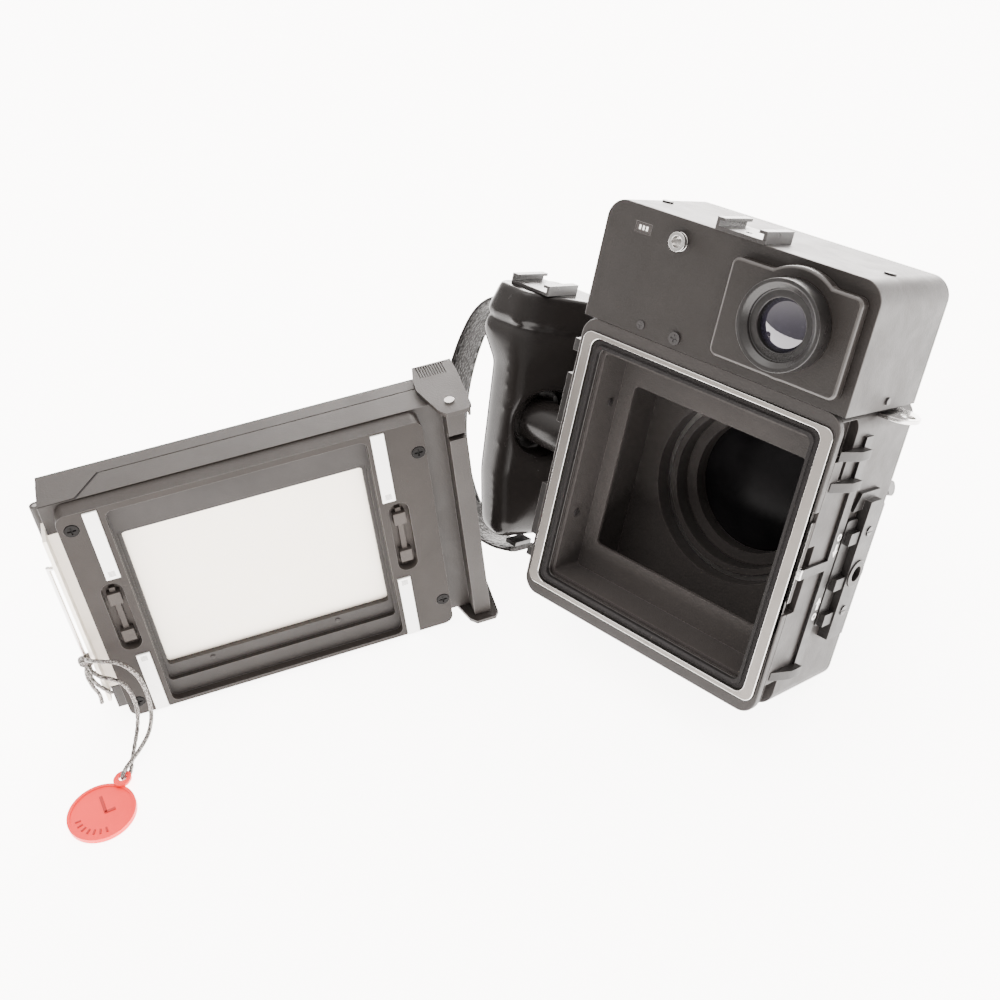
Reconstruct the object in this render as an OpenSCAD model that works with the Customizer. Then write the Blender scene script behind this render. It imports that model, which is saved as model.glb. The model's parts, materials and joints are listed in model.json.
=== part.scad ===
// Press camera with a side grip, a breech lens and its film back standing beside it.
// The camera leans forward on its lens. Its own frame: +X right, +Y towards the lens, +Z up,
// origin at the centre of the film flange. The back's own frame: +X towards the latch end,
// +Y into the back, +Z up, origin at the centre of the mount plate's front face.

/* [Camera body] */
// Width of the camera body
body_w = 116; // [112:1:122]
// Height of the lower body, bottom to rangefinder housing
body_h = 120; // [116:1:126]
// Depth of the body from film flange to front wall
body_d = 58; // [56:1:59]
// Height of the rangefinder housing above the body
housing_h = 47; // [40:1:56]
// Depth of the rangefinder housing
housing_d = 54; // [46:1:56]
// How far the camera leans forward, in degrees
camera_pitch = 24.5; // [20:0.5:24.5]

/* [Film flange] */
// Width of the polished film flange
flange_w = 112.4; // [108:0.2:114]
// Height of the polished film flange
flange_h = 109.7; // [106:0.1:112]
// Width of the flange's side columns
flange_column = 4.5; // [3:0.5:5]
// Width of the film chamber
chamber_w = 96.4; // [90:0.2:98]
// Height of the film chamber
chamber_h = 98.6; // [90:0.2:100]

/* [Eyepiece] */
// Distance of the eyepiece to the right of the centre line
eyepiece_x = 30.5; // [28:0.5:33]
// Height of the eyepiece above the flange centre
eyepiece_z = 84.7; // [83:0.1:86]
// Radius of the eyepiece bezel
eyepiece_r = 16.1; // [15:0.1:17]
// How far the eyepiece stands out of its panel
eyepiece_out = 8.4; // [5:0.2:10]

/* [Lens] */
// Radius of the focus ring
focus_r = 43; // [41:0.5:43]
// Front face of the focus ring, from the film flange
focus_front = 95; // [90:1:95]
// Travel of the lens tube when focusing
focus_travel = 3.5; // [2:0.5:3.5]

/* [Grip] */
// Depth position of the grip arm's axis
arm_y = 34; // [32:1:36]
// Height of the grip arm's axis
arm_z = -2; // [-4:1:2]
// Radius of the grip arm
arm_r = 10; // [8:0.5:11]
// Width of the hand strap
strap_w = 17; // [12:1:17]

/* [Film back] */
// Width of the mount plate
plate_w = 141; // [138:1:144]
// Height of the mount plate
plate_h = 108.8; // [106:0.2:110]
// Width of the image window
window_w = 95; // [90:1:96]
// Height of the image window
window_h = 73; // [70:1:74]
// Angle between the back's long edge and the camera's width, in degrees
back_yaw = 61.6; // [60:0.1:63]
// Depth of the back's front shell behind the mount plate
shell_d = 12.8; // [12:0.1:14]
// Depth of the back's rear door
door_d = 11.2; // [10:0.1:12]

/* [Tag] */
// Radius of the inspection tag
tag_r = 13.6; // [12:0.2:15]
// Thickness of the inspection tag
tag_t = 2; // [1.6:0.1:2.4]
// Diameter of the tag's string
string_d = 1.8; // [1.4:0.1:2]

/* [Hidden] */
$fn = 48;
eps = 0.01;      // overlap of a cut past the face it opens
fit = 0.05;      // radial clearance of a running fit
gap = 0.3;       // clearance between moving faces

// Places in the shared frame: the origin is under the middle of the whole object
camera_at = [55.7, 28.1, 78.65];
back_at = camera_at + [-117.5, -106.1, -21.65];

// Derived heights and levels of the camera
frame_t = 3;
housing_z0 = body_h / 2;
housing_z1 = housing_z0 + housing_h;
rear_y = -0.6;
panel_y = -5.6;
side_x = body_w / 2;
throat_r = 38.5;
mount_r = 40;
barrel_r = 36;
tube_r = 33;
sleeve_r = 28;

// Derived levels of the film back
plate_t = 8;
shell_y0 = plate_t;
shell_y1 = plate_t + shell_d;
door_y1 = shell_y1 + door_d;
back_left = -75.5;
back_right = 87.6;
back_low = -54.7;
back_high = 55;
table_z = -57;
window_x = -2.5;
window_z = -0.4;

module on_camera() { translate(camera_at) rotate([-camera_pitch, 0, 0]) children(); }
module on_back() { translate(back_at) rotate([0, 0, back_yaw]) children(); }

// Rounded rectangle centred on the origin
module round_rect(w, h, r) {
    square([w - 2 * r, h], center = true);
    square([w, h - 2 * r], center = true);
    for (x = [-1, 1], z = [-1, 1]) translate([x * (w / 2 - r), z * (h / 2 - r)]) circle(r);
}

// A flat outline in X and Z, given depth along +Y from y0
module slab(y0, depth) {
    translate([0, y0 + depth, 0]) rotate([90, 0, 0]) linear_extrude(depth) children();
}

// A flat outline in Y and Z, given thickness along +X from x0
module side_slab(x0, depth) {
    translate([x0, 0, 0]) rotate([90, 0, 90]) linear_extrude(depth) children();
}

// A rectangular ring in X and Z
module frame_ring(w, h, r, inner_w, inner_h, inner_r) {
    difference() { round_rect(w, h, r); round_rect(inner_w, inner_h, inner_r); }
}

module disc_y(r, y0, depth) { translate([0, y0, 0]) rotate([-90, 0, 0]) cylinder(r = r, h = depth); }
module disc_x(r, x0, depth) { translate([x0, 0, 0]) rotate([0, 90, 0]) cylinder(r = r, h = depth); }

module ring_y(r, inner_r, y0, depth) {
    difference() { disc_y(r, y0, depth); disc_y(inner_r, y0 - eps, depth + 2 * eps); }
}

// Grip ribs round a ring, cut as shallow grooves along its axis
module grooves(r, y0, depth, count, groove_r) {
    for (i = [0 : count - 1]) rotate([0, i * 360 / count, 0])
        translate([r, 0, 0]) disc_y(groove_r, y0, depth);
}

// A pan-head screw facing -Y with a cross recess
module screw_y(r, y0, depth) {
    difference() {
        disc_y(r, y0, depth);
        for (a = [0, 90]) rotate([0, a, 0]) translate([-r * 0.6, y0 - eps, -r * 0.12])
            cube([r * 1.2, depth * 0.4, r * 0.24]);
    }
}

// ---------------------------------------------------------------- camera body

// Catch pockets in the right side: y from, y to, z from, z to
lock_pockets = [[frame_t, 13.5, 43, 57.4], [9.5, 12, 35, 43.4], [frame_t, 12.5, -60.5, -47]];
// Notch at the right rear edge that shows the lock bar
notch_d = 8;
notch_z0 = -17;
notch_z1 = 24;
notch_mid = 10;

module body_casting() {
    wall_y = 50;
    color("dimgray") on_camera() difference() {
        slab(frame_t, body_d - frame_t) round_rect(body_w, body_h, 7);
        slab(frame_t - eps, wall_y - frame_t) round_rect(chamber_w, chamber_h, 2);
        disc_y(throat_r, wall_y - 1, body_d);
        for (p = lock_pockets) translate([side_x - 4, p[0] - eps, p[2]]) cube([5, p[1] - p[0], p[3] - p[2]]);
        translate([0, bracket_y, bush_z]) disc_x(5.6, side_x - bush_depth - 0.1, 10);
        translate([side_x - 3.4, frame_t - eps, notch_z0]) cube([4, notch_d - frame_t, notch_mid - notch_z0]);
    }
}

module rear_frame() {
    color("dimgray") on_camera() difference() {
        slab(0, frame_t) round_rect(body_w, body_h, 7);
        slab(-eps, 1.5 + eps) round_rect(flange_w, flange_h, 4);
        slab(-eps, frame_t + 2 * eps) round_rect(chamber_w, chamber_h, 3);
        translate([flange_w / 2 + 0.4, -eps, notch_z0]) cube([6, frame_t + 2 * eps, notch_z1 - notch_z0]);
    }
}

module film_flange() {
    band = 2;
    color("silver") on_camera() slab(-0.8, 2.3)
        frame_ring(flange_w, flange_h, 4, flange_w - 2 * flange_column, flange_h - 2 * band, 4);
}

module light_seal() {
    lip = 1.4;
    color("black") on_camera() slab(0.3, 1.2)
        frame_ring(flange_w - 2 * flange_column - 0.4, flange_h - 4.4, 3.8,
                   chamber_w + 2 * lip, chamber_h + 2 * lip, 3);
    color("black") on_camera() slab(-0.4, 1.9)
        frame_ring(chamber_w + 2 * lip, chamber_h + 2 * lip, 3, chamber_w, chamber_h, 3);
}

module light_baffle() {
    color([0.12, 0.12, 0.12]) on_camera() {
        slab(frame_t + 0.2, 15.8)
            frame_ring(chamber_w - gap, chamber_h - gap, 2, chamber_w - 3.2, chamber_h - 3.2, 1.5);
        slab(frame_t + 16, 1.6)
            frame_ring(chamber_w - gap, chamber_h - gap, 2, 80, 70, 2);
    }
}

module rangefinder_housing() {
    mid = (housing_z0 + housing_z1) / 2;
    color("dimgray") on_camera() difference() {
        slab(rear_y, housing_d - rear_y) union() {
            translate([0, mid]) round_rect(body_w + 0.6, housing_h - 0.2, 8);
            translate([-body_w / 2 - 0.3, housing_z0 + 0.1]) square([body_w + 0.6, 12]);
        }
        translate([eyepiece_x, 0, eyepiece_z]) disc_y(9, -1, housing_d + 2);
        translate([side_x - 1, 29, 63.4]) rotate([0, 90, 0]) cylinder(r = 1.5, h = 3);
        translate([17, housing_d - 3, 70]) cube([27, 4, 27]);
        translate([-40, housing_d - 3, 75]) cube([14, 4, 12]);
        translate([-44.4, rear_y - eps, 97]) cube([7, 1, 3.6]);
        translate([-23.6, 0, 98.4]) disc_y(2.6, -1, 8);
    }
}

module eyepiece_panel() {
    color("dimgray") on_camera() difference() {
        union() {
            slab(panel_y, 5) translate([28.4, 82.9]) round_rect(52.2, 36.2, 3);
            translate([eyepiece_x, 0, eyepiece_z]) disc_y(20.1, panel_y, 5);
        }
        translate([eyepiece_x, 0, eyepiece_z]) disc_y(13 + fit, -6, 8);
    }
}

module eyepiece_ring() {
    front_y = panel_y - eyepiece_out;
    color([0.1, 0.1, 0.1]) on_camera() translate([eyepiece_x, 0, eyepiece_z]) difference() {
        union() {
            disc_y(eyepiece_r, front_y, eyepiece_out);
            disc_y(13, front_y + eyepiece_out - eps, 5);
        }
        disc_y(9.4, front_y - eps, eyepiece_out + 8);
        disc_y(12.4, front_y - eps, 3);
        translate([0, front_y - eps, 0]) rotate([-90, 0, 0]) cylinder(r1 = 14.6, r2 = 12.4, h = 1.8);
    }
}

module eyepiece_glass() {
    y0 = panel_y - eyepiece_out + 3.4;
    color([0.3, 0.25, 0.45, 0.5]) on_camera() translate([eyepiece_x, y0, eyepiece_z]) rotate([-90, 0, 0])
        intersection() {
            cylinder(r = 9.4, h = 3);
            translate([0, 0, 24]) sphere(24);
        }
}

module viewfinder_window() {
    color([0.4, 0.5, 0.6, 0.5]) on_camera() translate([17 + gap, housing_d - 2.4, 70 + gap])
        cube([27 - 2 * gap, 1.8, 27 - 2 * gap]);
}

module rangefinder_window() {
    color([0.4, 0.5, 0.6, 0.5]) on_camera() translate([-40 + gap, housing_d - 2.4, 75 + gap])
        cube([14 - 2 * gap, 1.8, 12 - 2 * gap]);
}

// Accessory shoe: a base with two folded rails, open towards -Y
module shoe(w, l, base_t, rail_h) {
    lip = 3.2;
    wall = 1.2;
    cube([w, l, base_t]);
    for (s = [0, 1]) translate([s * (w - wall), 0, base_t - eps]) cube([wall, l, rail_h - base_t + eps]);
    for (s = [0, 1]) translate([s * (w - lip), 0, rail_h - wall]) cube([lip, l, wall]);
}

module top_shoe() {
    color("silver") on_camera() translate([-10.4, -1.4, housing_z1 - 0.1]) difference() {
        shoe(21, 19, 1.4, 4.6);
        for (y = [6, 15]) translate([10.5, y, -eps]) cylinder(r = 1.3, h = 3);
    }
}

module sync_socket() {
    color("silver") on_camera() translate([-23.6, 0, 98.4]) difference() {
        union() { disc_y(3.6, rear_y - 2.6, 2.6); disc_y(2.6 - fit, rear_y - 0.5, 5); }
        disc_y(2.2, rear_y - 2.6 - eps, 4);
        ring_y(4, 3.1, rear_y - 1.4, 0.6);
    }
}

module number_window() {
    color("gainsboro") on_camera() translate([-44.3, rear_y + 0.2, 97.1]) cube([6.8, 0.6, 3.4]);
}

module housing_screws() {
    color([0.2, 0.2, 0.2]) on_camera() {
        translate([-15.5, 0, 64.2]) screw_y(2.4, rear_y - 0.8, 0.8);
        translate([-31.6, 0, 64.2]) screw_y(1.7, rear_y - 0.4, 0.4);
        for (x = [-48, 48]) translate([x, 22, housing_z1 - 0.1]) cylinder(r = 2.2, h = 0.7);
        translate([0, 29, 63.4]) disc_x(1.5 - fit, side_x - 0.6, 1.6);
    }
}

bracket_t = 4.4;
bracket_y = 41;
bush_z = -6;
bush_depth = 6.8;

module tripod_bracket() {
    color("gray") on_camera() difference() {
        union() {
            side_slab(side_x, bracket_t) polygon([[35, -33.5], [47.5, -33.5], [47.5, 22], [44, 24.5], [35, 24.5]]);
            side_slab(side_x, 1.6) polygon([[28, 20.5], [36, 20.5], [36, 24.5], [46, 24.5], [46, 27.5], [31, 27.5]]);
        }
        translate([0, bracket_y, bush_z]) disc_x(5.6, side_x - 1, 6);
        for (z = bracket_screw_z) translate([0, bracket_y, z]) disc_x(1.6, side_x - 1, 6);
    }
}

bracket_screw_z = [11.8, -21.8];

module tripod_bush() {
    color("silver") on_camera() translate([0, bracket_y, bush_z]) difference() {
        disc_x(5.6 - fit, side_x - bush_depth, bush_depth + bracket_t + 0.6);
        disc_x(3.175, side_x - bush_depth - eps, bush_depth + bracket_t + 1);
    }
}

module bracket_screws() {
    color([0.2, 0.2, 0.2]) on_camera() for (z = bracket_screw_z) translate([0, bracket_y, z]) {
        disc_x(1.6 - fit, side_x, bracket_t);
        difference() {
            disc_x(2.1, side_x + bracket_t, 0.5);
            translate([side_x + bracket_t + 0.2, -3, -0.3]) cube([1, 6, 0.6]);
        }
    }
}

// Two strap lugs: tongues with an eye, level with the seam under the housing
module strap_lug() {
    color("silver") on_camera() for (s = [0, 1]) mirror([s, 0, 0]) difference() {
        union() {
            translate([side_x - 2, 28.5, 57.2]) cube([3.4, 18, 1.6]);
            translate([side_x + 1.4, 37.5, 57.2]) cylinder(r = 9, h = 1.6);
        }
        translate([side_x + 6.2, 37.5, 57]) cylinder(r = 2.6, h = 2);
        translate([side_x - 20, 20, 56]) cube([18.75, 40, 4]);
    }
}

// ---------------------------------------------------------------- lens

module lens_mount_ring() {
    color("silver") on_camera() difference() {
        union() { disc_y(46, body_d, 4); disc_y(mount_r, body_d, 12); }
        disc_y(barrel_r, body_d - eps, 13);
    }
}

module breech_ring() {
    color([0.18, 0.18, 0.18]) on_camera() difference() {
        union() {
            ring_y(47, mount_r + fit, body_d + 4 + gap, 8.5);
            for (a = [30, 150]) rotate([0, -a, 0]) translate([45, body_d + 4 + gap, -5]) cube([6, 8.5, 10]);
        }
        grooves(47.6, body_d + 4, 9.5, 36, 1.1);
    }
}

module lens_barrel() {
    color([0.15, 0.15, 0.15]) on_camera() difference() {
        union() {
            disc_y(barrel_r - fit, 56, 39);
            ring_y(40, barrel_r - 1, body_d + 13, 4);
        }
        disc_y(tube_r + fit, 55, 42);
    }
}

module focus_ring() {
    y0 = 75.6;
    color([0.2, 0.2, 0.2]) on_camera() {
        difference() {
            ring_y(focus_r, barrel_r + fit, y0, focus_front - y0);
            grooves(focus_r + 0.6, y0 + 4, focus_front - y0 - 6, 40, 1.2);
        }
        rotate([0, -18, 0]) translate([0, 90, 0]) disc_x(3.2, focus_r - 1.5, 7.5);
    }
}

// The tube reaches far enough into the barrel to stay guided at full travel
module lens_tube() {
    guided = 29.5;
    tube_y1 = 97;
    color([0.12, 0.12, 0.12]) on_camera()
        ring_y(tube_r, sleeve_r, tube_y1 - guided - focus_travel, guided + focus_travel);
}

module rear_glass() {
    color([0.3, 0.3, 0.4, 0.5]) on_camera() translate([0, 66, 0]) rotate([-90, 0, 0]) rotate_extrude()
        intersection() {
            translate([0, 84]) circle(84, $fn = 144);
            square([sleeve_r, 8]);
        }
}

module shutter_housing() {
    color([0.16, 0.16, 0.16]) on_camera() {
        difference() {
            union() { disc_y(36, 97, 6.6); disc_y(sleeve_r, 97, 16.4); }
            disc_y(23, 96, 20);
            grooves(36.8, 96, 8, 12, 1.4);
        }
    }
}

// A thin ring round the shutter sleeve with a radial lever at the given angle
module lever_ring(y0, angle, reach, width) {
    difference() {
        union() {
            disc_y(31.5, y0, 1.3);
            rotate([0, -angle, 0]) translate([30, y0, -width / 2]) cube([reach - 30, 1.3, width]);
            rotate([0, -angle, 0]) translate([reach - 2.4, y0 - 2.4, -width / 2]) cube([2.4, 3.7, width]);
        }
        disc_y(sleeve_r + fit, y0 - eps, 2);
    }
}

module cocking_lever() { color("silver") on_camera() lever_ring(103.9, 62, 44, 5); }
module release_lever() { color("silver") on_camera() lever_ring(105.5, 120, 43, 4); }

module speed_ring() {
    color("gray") on_camera() difference() {
        ring_y(34.5, sleeve_r + fit, 107.1, 3);
        grooves(34.9, 107, 4, 60, 0.7);
    }
}

module aperture_ring() {
    color("gray") on_camera() difference() {
        ring_y(32.6, sleeve_r + fit, 110.4, 2.9);
        grooves(33, 110, 4, 48, 0.7);
    }
}

module front_barrel() {
    color([0.12, 0.12, 0.12]) on_camera() difference() {
        disc_y(31, 113.6, 4);
        disc_y(23, 112, 7);
        translate([0, 114.6, 0]) rotate([-90, 0, 0]) cylinder(r1 = 23, r2 = 28.5, h = 3 + eps);
    }
}

module front_glass() {
    color([0.35, 0.3, 0.5, 0.5]) on_camera() translate([0, 109, 0]) rotate([-90, 0, 0]) rotate_extrude()
        intersection() {
            translate([0, -44]) circle(50, $fn = 96);
            square([23 - fit, 6]);
        }
}

// ---------------------------------------------------------------- back locks

module lock_slide() {
    color([0.15, 0.15, 0.15]) on_camera() {
        side_slab(side_x + gap, 1.2) translate([30.6, -5]) round_rect(8, 44, 1.5);
        for (z = [-26.5, -11.5, 7.5]) translate([side_x + 1, 28, z]) cube([2.8, 6.4, 5]);
    }
}

// A ramped catch that points to the rear, its base at y 22 and its tip at y 4.5
module catch_wedge() {
    linear_extrude(3.6) polygon([[0, 22], [0, 4.5], [3.4, 14.5], [3.4, 22]]);
}

module lock_bar_right() {
    x0 = side_x + gap;
    color("silver") on_camera() {
        translate([x0, 20, -46]) cube([1, 5.6, 97]);
        for (z = [43.4, 31.4, -45.4]) translate([x0, 0, z]) catch_wedge();
        translate([x0, 1.8, -2]) cube([1, 18.4, 4]);
        translate([side_x - 1.1, 1, -2]) cube([2.3, 2, 4]);
        translate([side_x - 1.1, 1, -12]) cube([0.9, 2, 32]);
    }
}

module lock_bar_left() {
    x0 = side_x + gap;
    color([0.2, 0.2, 0.2]) on_camera() mirror([1, 0, 0]) {
        translate([x0, 8, -46]) cube([1, 6, 97]);
        for (z = [[44.4, 5], [14, 21], [-36, 23], [-46, 4]]) translate([x0, 1, z[0]]) cube([2.8, 8, z[1]]);
    }
}

// ---------------------------------------------------------------- grip

// Corner posts of the grip's section at height z: [x, y] of each post's centre
function grip_section(left, right) =
    [[left + 8, 26], [right - 3, 25], [-91, 44], [-93, 50], [left + 12, 50]];

module grip_slice(z, left, right, r) {
    for (p = grip_section(left, right)) translate([p[0], p[1], z]) sphere(r, $fn = 20);
}

module grip_shell() {
    levels = [[-49, -107, -92], [-28, -113, -97], [8, -117, -99], [22, -118.5, -101], [33.5, -128, -104]];
    difference() {
        for (i = [0 : len(levels) - 2]) hull() {
            grip_slice(levels[i][0], levels[i][1], levels[i][2], 8);
            grip_slice(levels[i + 1][0], levels[i + 1][1], levels[i + 1][2], 8);
        }
        translate([-150, 0, 39.5]) cube([100, 90, 20]);
        translate([0, arm_y, arm_z]) disc_x(15, -97, 30);
    }
}

module grip_rear() {
    color([0.05, 0.05, 0.05]) on_camera() intersection() {
        grip_shell();
        translate([-150, 0, -70]) cube([100, 38, 120]);
    }
}

module grip_front() {
    color([0.05, 0.05, 0.05]) on_camera() difference() {
        grip_shell();
        translate([-150, -1, -70]) cube([100, 39, 130]);
        translate([-106, 52, 24]) cube([9, 12, 14]);
    }
}

// Top of the pocket in the grip's cap that takes the strap's upper end
strap_pocket_top = 49.2;

module grip_cap() {
    color([0.07, 0.07, 0.07]) on_camera() difference() {
        hull() {
            for (p = grip_section(-128, -104)) translate([p[0], p[1], 39.6]) cylinder(r = 8, h = 1, $fn = 32);
            for (p = grip_section(-125.5, -104)) translate([p[0], p[1], 52]) cylinder(r = 6, h = 2, $fn = 32);
        }
        translate([-132, 23 - gap, 41]) cube([17.6, strap_w + 2 * gap, strap_pocket_top - 41]);
    }
}

module grip_shoe() {
    color("silver") on_camera() translate([-118, 24, 54]) shoe(21, 20, 1.4, 4.4);
}

module grip_arm() {
    color([0.06, 0.06, 0.06]) on_camera() translate([0, arm_y, arm_z]) {
        disc_x(arm_r, -97, 97 - side_x);
        disc_x(arm_r + 3, -side_x - 4, 4);
    }
}

module clamp_collar() {
    x0 = -side_x - 4 - gap - 9;
    color([0.1, 0.1, 0.1]) on_camera() translate([0, arm_y, arm_z]) difference() {
        disc_x(arm_r + 2.6, x0, 9);
        disc_x(arm_r + fit, x0 - 1, 12);
        for (i = [0 : 17]) rotate([i * 20, 0, 0]) translate([0, 0, arm_r + 3]) disc_x(1, x0 + 1, 7);
    }
}

module trigger() {
    hub = [57.4, 31.2];
    color("silver") on_camera() side_slab(-105.6, 8.2) difference() {
        union() {
            translate(hub) circle(2.6);
            polygon([[57.4, 28.7], [59.4, 28.7], [63.4, 10], [65.8, 10.6], [61.6, 33.7], [57.4, 33.7]]);
        }
        translate(hub) circle(1);
    }
}

// Outline of the hand strap: points of its middle line, outside the grip
strap_path = [[-119, 46], [-128, 43.5], [-135, 36], [-139.5, 24], [-142, 9], [-142, -8], [-138.5, -26],
              [-131, -43], [-120.5, -56], [-108, -62.5], [-97, -63.2], [-86, -60.5]];

function unit(v) = v / norm(v);
function strap_normal(i) =
    let (n = len(strap_path),
         t = unit(strap_path[min(i + 1, n - 1)] - strap_path[max(i - 1, 0)]))
    [-t[1], t[0]];
function strap_side(offset) = [for (i = [0 : len(strap_path) - 1]) strap_path[i] + offset * strap_normal(i)];

module hand_strap() {
    t = 1.3;
    outer = strap_side(t);
    inner = strap_side(-t);
    color([0.1, 0.1, 0.1]) on_camera() slab(23, strap_w)
        polygon(concat(outer, [for (i = [len(inner) - 1 : -1 : 0]) inner[i]]));
}

module strap_anchors() {
    color("silver") on_camera() {
        translate([-122, 26, strap_pocket_top - 1.4]) cube([7, 11, 1.4]);
        translate([-92, 26, -59.2]) cube([6, 11, 2.1]);
    }
}

// ---------------------------------------------------------------- film back

module mount_plate() {
    recess_x = 8.4;
    color("dimgray") on_back() difference() {
        slab(0, plate_t) round_rect(plate_w, plate_h, 4);
        slab(-eps, plate_t + 2 * eps) translate([window_x, window_z]) round_rect(window_w, window_h, 1.5);
        slab(-eps, 3.4) translate([window_x + 0.2, -0.5]) round_rect(100.6, 104, 3);
        slab(3, 2.5) translate([window_x, -2.5]) round_rect(98, 83, 2);
        for (s = [-60, 55.5]) slab(-eps, 4 + eps) translate([s, 0]) round_rect(recess_x, 36, 4);
        for (s = strip_places) slab(-eps, 0.8) translate([s[0], s[1]]) square([5.6, s[2] + 0.2], center = true);
        for (p = screw_places) translate([p[0], 0, p[1]]) disc_y(2.9, -eps, 1.2 + eps);
    }
}

// Wear strips: centre x, centre z and length of each
strip_places = [[-57.6, 36.7, 33.4], [-57.6, -38, 32.6], [52.4, 36.7, 33.4], [52.4, -38, 32.6]];
screw_places = [[-65.7, 47], [67.4, 40], [67.4, -40], [-66, -47]];

module wear_strips() {
    color("whitesmoke") on_back() for (s = strip_places)
        slab(-0.5, 1.2) translate([s[0], s[1]]) square([5.4, s[2]], center = true);
}

module plate_screws() {
    color([0.12, 0.12, 0.12]) on_back() for (p = screw_places)
        translate([p[0], 0, p[1]]) screw_y(2.7, -0.2, 1.4);
}

module lock_catches() {
    color([0.15, 0.15, 0.15]) on_back() for (s = [-60, 55.5]) translate([s, 0, 0]) {
        for (z = [-11, 9]) translate([-2.6, 0.8, z - 3]) cube([5.2, 3.2, 6]);
        slab(2.2, 1.8) square([2.4, 28], center = true);
    }
}

module back_housing() {
    slide_h = 84;
    pack_w = 132;
    pack_h = 96;
    color("dimgray") on_back() difference() {
        union() {
            translate([back_left, shell_y0, back_low])
                cube([back_right - back_left, shell_d, back_high - back_low]);
            translate([80.4, 0, back_low]) cube([back_right - 80.4, shell_y0 + eps, back_high - back_low]);
            translate([-72, shell_y0 + 2, table_z]) cube([14, shell_d - 4, 3]);
        }
        slab(shell_y0 - eps, 3.1) translate([window_x, window_z]) round_rect(window_w, window_h, 1.5);
        translate([back_left - eps, shell_y0 - eps, -slide_h / 2 - 0.2])
            cube([132, 1.2, slide_h + 0.4]);
        translate([-64, shell_y0 + 3, -pack_h / 2]) cube([pack_w, shell_d, pack_h]);
        translate([68 - eps, 9.6, -50]) cube([17, shell_d, 100]);
        translate([84, 17.8, -44]) cube([6, 4, 88]);
        translate([79, -eps, 41]) cube([10, 3, 2.4]);
        for (s = [-1, 1]) translate([latch_pivot[0], latch_pivot[1], s > 0 ? back_high - 2.4 : back_low - 0.6])
            cylinder(r = 2 + fit, h = 3 + eps);
    }
    color("dimgray") on_back() difference() {
        for (z = [-48, 24]) knuckle(z, 24, -1);
        translate([hinge_u, hinge_w, -60]) cylinder(r = pin_r, h = 120);
    }
}

// The door's hinge stands just off the left end, level with the parting line
hinge_r = 2.2;
hinge_u = back_left - hinge_r - gap;
hinge_w = shell_y1 + 0.05;
pin_r = 1;

// One hinge knuckle with its leaf, on the shell's side (-1) or the door's side (1)
module knuckle(z, length, side) {
    translate([hinge_u, hinge_w, z]) cylinder(r = hinge_r, h = length);
    translate([hinge_u, side > 0 ? hinge_w + 0.4 : hinge_w - hinge_r, z])
        cube([back_left - hinge_u + eps, hinge_r - 0.4, length]);
}

module hinge_pin() {
    color("silver") on_back() translate([hinge_u, hinge_w, -48]) cylinder(r = pin_r, h = 96);
}

// The roller pair: a frame with two end plates, and the rollers' axes between them
roller_u = 79;
roller_w = [14.4, 23.6];
pivot_r = 1.5;
roller_end = 48.9;
roller_plate = 2;

module roller_frame() {
    color("silver") on_back() {
        for (z = [-roller_end, roller_end - roller_plate]) difference() {
            translate([71, 11, z]) cube([13.6, 17.4, roller_plate]);
            for (w = roller_w) translate([roller_u, w, z - 1]) cylinder(r = pivot_r + fit, h = 4);
        }
        translate([69.6, 11, -roller_end]) cube([1.4, 2.6, 2 * roller_end]);
    }
}

module roller(w) {
    half = roller_end - roller_plate - gap;
    color("gray") on_back() translate([roller_u, w, 0]) {
        translate([0, 0, -half]) cylinder(r = 4.4, h = 2 * half);
        translate([0, 0, 0.2 - roller_end]) cylinder(r = pivot_r, h = 2 * roller_end - 0.4);
    }
}

module roller_front() roller(roller_w[0]);
module roller_rear() roller(roller_w[1]);

module pressure_springs() {
    color("silver") on_back() for (x = [-34, 28]) translate([x, door_y1 - 3.4, -30]) cube([10, 0.8, 60]);
}

module back_door() {
    wall = 2.4;
    color("dimgray") on_back() difference() {
        slab_door();
        slab_door_inner(wall);
    }
    color("dimgray") on_back() difference() {
        knuckle(-23.6, 47.2, 1);
        translate([hinge_u, hinge_w, -60]) cylinder(r = pin_r + fit, h = 120);
    }
}

// The door's outer block with a bevel all round its rear edge
module slab_door() {
    bevel = 3.8;
    seam = 0.4;
    hull() {
        translate([back_left, shell_y1 + seam, back_low])
            cube([back_right - back_left, door_d - bevel - seam, back_high - back_low]);
        translate([back_left + bevel, shell_y1 + seam, back_low + bevel])
            cube([back_right - back_left - 2 * bevel, door_d - seam, back_high - back_low - 2 * bevel]);
    }
}

module slab_door_inner(wall) {
    translate([back_left + wall, shell_y1 - 1, back_low + wall + 3])
        cube([back_right - back_left - 2 * wall, door_d - wall + 1, back_high - back_low - 2 * wall - 6]);
}

// The latch: a yoke with an ear at each end, pivoting on pins in the shell's end
latch_pivot = [83.4, 4.4];
ear_t = 1.7;
rivet_out = 0.6;

module latch() {
    color("gray") on_back() {
        difference() {
            for (z = [back_high + gap, table_z]) translate([0, 0, z]) linear_extrude(ear_t)
                polygon([[74, 24.4], [73.4, 16.4], [77.8, -0.6], [80.2, -3.5], [88.7, -3.5], [90.7, -0.9],
                         [92.1, 22.6], [92.1, 32.8], [75.9, 32.8]]);
            for (i = [0 : 11]) translate([77 + i * 1.05, 24, back_high + gap + ear_t - 0.5]) cube([0.5, 8, 1]);
        }
        for (pin = [[back_high - 2.2, 2.2 + gap + ear_t + rivet_out], [table_z + ear_t - eps, 2.6]])
            translate([latch_pivot[0], latch_pivot[1], pin[0]]) cylinder(r = 2, h = pin[1]);
        side_slab(89.6, 1) polygon([[0, back_high + gap + eps], [6, back_high + gap + eps], [1.4, back_high - 5]]);
        translate([back_right + 0.8, 23.4, table_z]) cube([3.4, 8.2, back_high - table_z + gap + ear_t]);
    }
}

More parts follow.
